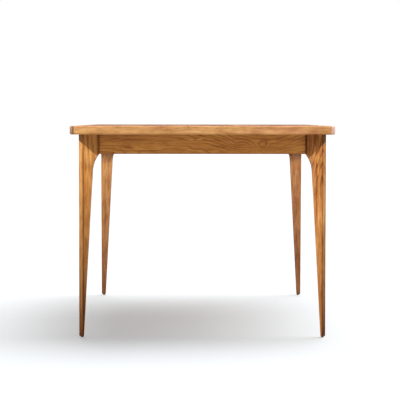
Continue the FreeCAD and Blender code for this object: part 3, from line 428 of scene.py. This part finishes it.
def apron_painted_shade(board, colour):
    """Painted shade in lines where an apron meets its legs and along its lower edge."""
    reach = APRON_REACH[board.axis]
    full, end = APRON_JOINT_LINE
    beyond = board.remap(board.calc("ABSOLUTE", board.along), reach - end, reach - full)
    lowest = board.low_corner[2]
    full, end = APRON_EDGE_LINE
    below = board.remap(board.point[2], lowest + end, lowest + full)
    line = board.calc("MAXIMUM", beyond, board.calc("MULTIPLY", below, 0.8))
    return board.tinted(line, colour, APRON_LINE_SHADE_TINT)


def lipping_crown_and_painted_light(board, colour):
    """Darker on the upper side, and painted light on the rounded lower edge but not underneath."""
    upwards = board.normal[2]
    colour = board.tinted(board.remap(upwards, *UPPER_SIDE), colour, CROWN_TINT)
    lower_edge = board.remap(upwards, *LOWER_SLOPE)
    lower_edge = board.calc("MULTIPLY", lower_edge, board.remap(upwards, *NOT_UNDERSIDE))
    return board.tinted(lower_edge, colour, LOWER_EDGE_LIGHT_TINT)


def side_lipping_ends_and_painted_light(board, colour, side):
    """The end grain at both ends of a side lipping, with painted shade at the left, a painted reflection at
    the right and a painted highlight band, before what every lipping gets.
    """
    end_grain = board.remap(board.calc("ABSOLUTE", board.normal[1]), 0.12, 0.4)
    end_colour = board.blend(0.85, colour, (*shade(HONEY[1], SIDE_LIPPING_TINT), 1))
    end_colour = board.times(end_colour, END_GRAIN_SHADE_AND_REFLECTION_TINTS[side])
    from_highlight = board.calc("ABSOLUTE", board.calc("ADD", board.across, END_HIGHLIGHT_SHIFTS[side]))
    from_highlight = board.remap(from_highlight, 0.0, END_HIGHLIGHT_WIDTHS[side])
    end_colour = board.blend(from_highlight, board.times(end_colour, END_HIGHLIGHT_TINT), end_colour)
    return lipping_crown_and_painted_light(board, board.blend(end_grain, colour, end_colour))


# Metal and moulded parts

SCRATCHES = (900, 60, 900)


def cloudy(surface, detail, share, waves, colour, shades, rough, spread):
    """A colour and roughness that vary in soft clouds and, by a share, with the fine detail."""
    clouds = surface.noise(surface.place, (waves,) * 3)
    mixed = surface.calc("MULTIPLY_ADD", surface.calc("SUBTRACT", detail, 0.5), share, clouds)
    dark, light = (shade(colour, (factor,) * 3) for factor in shades)
    surface.set(Base_Color=surface.ramp(mixed, [(0.25, dark), (0.75, light)]),
                Roughness=surface.remap(mixed, 0.2, 0.8, rough - spread[0], rough + spread[1]))


def metal(name, colour, rough=0.34):
    surface = Surface(name)
    scratches = surface.noise(surface.place, SCRATCHES, roughness=0.7)
    cloudy(surface, scratches, 0.5, 60, colour, (0.72, 1.12), rough, (0.08, 0.14))
    surface.set(Metallic=1.0)
    surface.bump(scratches, 0.12, 0.0002)
    return surface.material


def moulded(name, colour, rough=0.45, waves=1400):
    surface = Surface(name)
    speckle = surface.noise(surface.place, (waves,) * 3, detail=2.0)
    cloudy(surface, speckle, 0.35, 45, colour, (0.85, 1.08), rough, (0.06, 0.1))
    surface.bump(speckle, 0.15, 0.0003)
    return surface.material


ZINC = metal("zinc", (0.60, 0.60, 0.61))
LOCK = metal("lock_steel", (0.44, 0.43, 0.41), rough=0.4)
BRASS = metal("brass", (0.72, 0.55, 0.27), rough=0.3)
PINION = moulded("pinion_plastic", (0.78, 0.76, 0.70))
GLIDE = moulded("glide_plastic", (0.055, 0.035, 0.025), rough=0.5)
RUBBER = moulded("rubber", (0.03, 0.03, 0.03), rough=0.7, waves=500)


# Every board gets its own piece of wood. A knot is its place along and beside the board's middle,
# about half its length and height, how many rings it lifts, and how dark its eye is, which is
# below 0 for a pale one. A large knot that lifts few rings is a darker or paler stretch of wood,
# and on the front legs some knots are painted light and shade, as noted there.

LEG_WOOD = {
    "leg_front_left": dict(
        tint=(1.02, 0.87, 0.61), pith=(0.05, 0.10), ring=0.010, early=0.6,
        figure=0.34, streak=0.75, broad=0.3,
        # The first knot's dark eye on the top block is partly painted shade, where the top's shadow falls;
        # the pale second one is painted light just below that shadow
        knots=((0.335, 0.0, 0.14, 0.14, 0.6, 0.06),
               (0.282, -0.004, 0.10, 0.05, 0.0, -0.35),
               (0.19, -0.013, 0.32, 0.028, 0.0, 0.25))),
    "leg_front_right": dict(
        tint=(1.20, 1.06, 0.80), pith=(-0.05, 0.08), swing=(0.012, 0.5, 2.2), ring=0.010, early=0.62,
        figure=0.55, streak=0.8, broad=0.4,
        # The first knot is partly painted shade: its dark eye lies on the top block, where the top's shadow
        # falls; the last, pale one is painted light just below that shadow
        knots=((0.345, -0.004, 0.15, 0.16, 2.6, 0.30),
               (0.30, 0.0, 0.70, 0.60, 0.4, 0.28),
               (0.20, 0.002, 0.36, 0.030, 0.5, 0.22),
               (0.275, 0.004, 0.06, 0.05, 0.0, -0.32))),
    "leg_back_left": dict(
        tint=(1.18, 1.12, 1.08), pith=(-0.05, -0.09), figure=0.18, streak=0.6, broad=0.4),
    "leg_back_right": dict(
        tint=(0.95, 0.84, 0.85), pith=(0.04, -0.09), figure=0.26, streak=0.8, broad=0.45),
}
# Painted light and shade on each leg. Arris is how far the edge of the chamfer lies inside the outer face,
# where a line of painted shade runs
LEG_PAINTED_LIGHT_AND_SHADE = {
    "leg_front_left": dict(
        arris=0.0165, face_foot_shade=(0.19, 0.118, 0.082),
        bevel_top_light_and_shade=(0.66, 0.70, 0.78), bevel_foot_shade=(0.18, 0.115, 0.062)),
    "leg_front_right": dict(
        arris=0.0125, face_foot_shade=(0.72, 0.64, 0.54),
        bevel_top_light_and_shade=(0.55, 0.56, 0.56), bevel_foot_shade=(0.13, 0.07, 0.035)),
    "leg_back_left": dict(
        arris=0.0135, face_foot_shade=(0.41, 0.335, 0.325), apron_shadow=True,
        bevel_top_light_and_shade=(0.9, 0.9, 0.9), bevel_foot_shade=(0.37, 0.31, 0.29)),
    "leg_back_right": dict(
        arris=0.0135, face_foot_shade=(0.45, 0.37, 0.34), apron_shadow=True,
        bevel_top_light_and_shade=(1.2, 1.2, 1.3), bevel_foot_shade=(0.50, 0.42, 0.40)),
}
# The end aprons are tinted brighter and warmer than the side aprons: painted warm light in their shade under
# the top
END_APRON_WARM_LIGHT_TINT = (1.16, 0.92, 0.45)
SIDE_APRON_TINT = (1.0, 0.86, 0.66)
APRON_WOOD = {
    "end_apron_front": dict(
        tint=END_APRON_WARM_LIGHT_TINT, pith=(0.03, 0.02), swing=(0.03, 0.62, -0.6),
        knots=((0.215, -0.010, 0.034, 0.017, 2.9, 0.22),
               (0.115, 0.004, 0.020, 0.022, 1.1, 0.1),
               (-0.26, -0.012, 0.05, 0.02, 2.2, 0.1),
               (-0.37, 0.0, 0.62, 0.5, 0.0, 0.17),
               (-0.02, 0.014, 0.026, 0.006, 1.2, 0.12))),
    "end_apron_back": dict(
        tint=END_APRON_WARM_LIGHT_TINT, pith=(-0.03, 0.02), swing=(0.03, 0.62, 0.4),
        knots=((-0.2, 0.008, 0.036, 0.016, 5.0, 0.3),)),
    "side_apron_left": dict(
        tint=SIDE_APRON_TINT, pith=(0.03, -0.02), swing=(0.03, 0.70, 1.4),
        knots=((0.31, 0.0, 0.036, 0.016, 5.0, 0.3),)),
    "side_apron_right": dict(
        tint=SIDE_APRON_TINT, pith=(-0.03, 0.02), swing=(0.03, 0.80, 0.2),
        knots=((-0.28, 0.006, 0.036, 0.016, 5.0, 0.3),)),
}
END_LIPPING_KNOTS = ((0.38, 0.0, 0.9, 0.5, 0.0, 0.15), (-0.42, 0.0, 0.5, 0.5, 0.0, 0.08))
PANEL_WOOD = dict(pith=(0.0, 0.05), swing=(0.03, 1.3, 0.0), ring=0.009, figure=0.46, streak=0.8,
                  roughness=0.5)
# Both halves of the top have the same seed, so a plank has one tone on both sides of the seam
TOP_SEED = 71
TOP_PLANK = 0.1143
LEAF_PLANK = 0.118
SEEDS = 9973


def seed_of(name):
    return sum((place + 1) * ord(letter) for place, letter in enumerate(name)) % SEEDS


def board_material(name):
    seed = seed_of(name)
    if name in LEG_WOOD:
        return wood(name, "Z", HONEY, seed, tilt=(0.03, 0.02), mottle=0.8, rosy=0.3, gloss=0.1,
                    overlay=partial(leg_painted_light_and_shade, **LEG_PAINTED_LIGHT_AND_SHADE[name]), **LEG_WOOD[name])
    if name in APRON_WOOD:
        axis = "X" if name.startswith("end") else "Y"
        return wood(name, axis, HONEY, seed, ring=0.010, early=0.66, warp=0.014, figure=0.62,
                    streak=0.7, mottle=0.7, rosy=0.3, overlay=apron_painted_shade, **APRON_WOOD[name])
    if name.startswith("end_lipping"):
        return wood(name, "X", HONEY, seed, tint=(1.05, 1.07, 0.94), figure=0.16, streak=0.45, mottle=1.0,
                    broad=0.5, rosy=0.8, knots=END_LIPPING_KNOTS, overlay=lipping_crown_and_painted_light)
    if name.startswith("side_lipping"):
        side = "left" if name.endswith("left") else "right"
        return wood(name, "Y", HONEY, seed, tint=SIDE_LIPPING_TINT, ring=0.006, figure=0.2, streak=0.5,
                    broad=0.4, overlay=partial(side_lipping_ends_and_painted_light, side=side))
    if name.startswith("top_panel"):
        return wood(name, "Y", BROWN, TOP_SEED, plank=TOP_PLANK, gloss=0.02, **PANEL_WOOD)
    if name.startswith("leaf_panel"):
        return wood(name, "Y", BROWN, seed, plank=LEAF_PLANK, gloss=0.04, **PANEL_WOOD)
    axis = "Y" if name.startswith(("slide_rail", "runner", "leaf_tongues", "seam_tongues")) else "X"
    return wood(name, axis, BEECH, seed, figure=0.3, ring=0.006, roughness=0.55, rosy=0.3)


def material_for(name):
    if name.endswith(("screws", "bolts", "axles", "screws_front", "screws_back")):
        return ZINC
    if name.startswith("lock_"):
        return LOCK
    if name == "leaf_hinges":
        return BRASS
    if name.startswith("pinion_"):
        return PINION
    if name == "foot_glides":
        return GLIDE
    if name == "slide_buffers":
        return RUBBER
    if name.startswith("leaf_") and "panel" not in name and "tongues" not in name:
        return ZINC
    return board_material(name)


# How far the edges are rounded, by the start of a piece's name
EDGES = {"leg_": 0.0007, "end_apron": 0.0008, "side_apron": 0.0008, "end_lipping": 0.0008,
         "side_lipping": 0.0008, "cross_rail": 0.0006, "top_batten": 0.001, "corner_brace": 0.001,
         "leaf_panel": 0.0006, "slide_rail": 0.0005}


SAME_POINT = 0.00001
FLAT_BELOW = math.radians(1)
ROUNDED_ABOVE = math.radians(28)


def soften(item, width):
    """Slightly rounded edges, as sanding leaves them."""
    weld = item.modifiers.new("weld", "WELD")
    weld.merge_threshold = SAME_POINT
    flat = item.modifiers.new("flat", "DECIMATE")
    flat.decimate_type = "DISSOLVE"
    flat.angle_limit = FLAT_BELOW
    bevel = item.modifiers.new("bevel", "BEVEL")
    bevel.width = width
    bevel.segments = 2
    bevel.limit_method = "ANGLE"
    bevel.angle_limit = ROUNDED_ABOVE
    bevel.harden_normals = True


for name, item in nodes.items():
    material = material_for(name)
    item.data.materials.clear()
    item.data.materials.append(material)
    for name_start, width in EDGES.items():
        if name.startswith(name_start):
            soften(item, width)


# Floor and light

FLOOR_REACH = 60.0
FLOOR_HEIGHT = -0.0004
FLOOR_COLOUR = (0.782, 0.825, 0.852, 1)
FLOOR_GLOW = 0.285
WORLD_LIGHT = 0.31


def floor_plane():
    mesh = bpy.data.meshes.new("floor")
    corners = [(-FLOOR_REACH, -FLOOR_REACH), (FLOOR_REACH, -FLOOR_REACH),
               (FLOOR_REACH, FLOOR_REACH), (-FLOOR_REACH, FLOOR_REACH)]
    mesh.from_pydata([(x, y, FLOOR_HEIGHT) for x, y in corners], [], [(0, 1, 2, 3)])
    item = bpy.data.objects.new("floor", mesh)
    scene.collection.objects.link(item)
    material = bpy.data.materials.new("floor_white")
    graph = Graph(material)
    graph.nodes.clear()
    diffuse = graph.add("ShaderNodeBsdfDiffuse")
    diffuse.inputs["Color"].default_value = FLOOR_COLOUR
    glow = graph.add("ShaderNodeEmission")
    graph.feed(glow.inputs["Strength"], graph.calc("MULTIPLY", graph.seen_directly(), FLOOR_GLOW))
    both = graph.add("ShaderNodeAddShader")
    graph.feed(both.inputs[0], diffuse.outputs[0])
    graph.feed(both.inputs[1], glow.outputs[0])
    output = graph.add("ShaderNodeOutputMaterial")
    graph.feed(output.inputs["Surface"], both.outputs[0])
    mesh.materials.append(material)
    return item


floor = floor_plane()

# The world is white where it is seen, and gives less light than that
world = bpy.data.worlds.new("studio")
scene.world = world
sky = Graph(world)
sky.nodes.clear()
background = sky.add("ShaderNodeBackground")
background.inputs["Color"].default_value = WHITE
sky.feed(background.inputs["Strength"], sky.remap(sky.seen_directly(), 0.0, 1.0, WORLD_LIGHT, 1.0))
output = sky.add("ShaderNodeOutputWorld")
sky.feed(output.inputs["Surface"], background.outputs[0])


def aim(item, direction):
    item.rotation_euler = Vector(direction).to_track_quat("-Z", "Y").to_euler()


# A broad soft light from above, behind and to the right: it makes the shadow on the floor
SUN_STRENGTH = 2.5
SUN_BREADTH = math.radians(56)
SUN_DIRECTION = (-0.34, -0.48, -1.0)
sun_data = bpy.data.lights.new("overhead", "SUN")
sun_data.energy = SUN_STRENGTH
sun_data.angle = SUN_BREADTH
sun = bpy.data.objects.new("overhead", sun_data)
aim(sun, SUN_DIRECTION)
scene.collection.objects.link(sun)

# Two small lamps at the sides light the object alone
LAMP_SIZE = 0.02
LAMP_COLOUR = (0.92, 1.0, 1.10)
LAMPS = {
    "lamp_left": dict(place=(-1.50, -1.09, 1.60), aimed_at=(-0.44, -0.70, 0.5), power=54),
    "lamp_right": dict(place=(1.46, -1.09, 1.69), aimed_at=(0.44, -0.70, 0.5), power=56),
}
not_floor = bpy.data.collections.new("side_lamps_skip")
not_floor.objects.link(floor)
not_floor.collection_objects[0].light_linking.link_state = "EXCLUDE"
for lamp_name, settings in LAMPS.items():
    lamp_data = bpy.data.lights.new(lamp_name, "AREA")
    lamp_data.shape = "DISK"
    lamp_data.size = LAMP_SIZE
    lamp_data.energy = settings["power"]
    lamp_data.color = LAMP_COLOUR
    lamp = bpy.data.objects.new(lamp_name, lamp_data)
    lamp.location = settings["place"]
    aim(lamp, Vector(settings["aimed_at"]) - Vector(settings["place"]))
    lamp.visible_camera = False
    lamp.light_linking.receiver_collection = not_floor
    scene.collection.objects.link(lamp)

scene.view_settings.view_transform = "Standard"
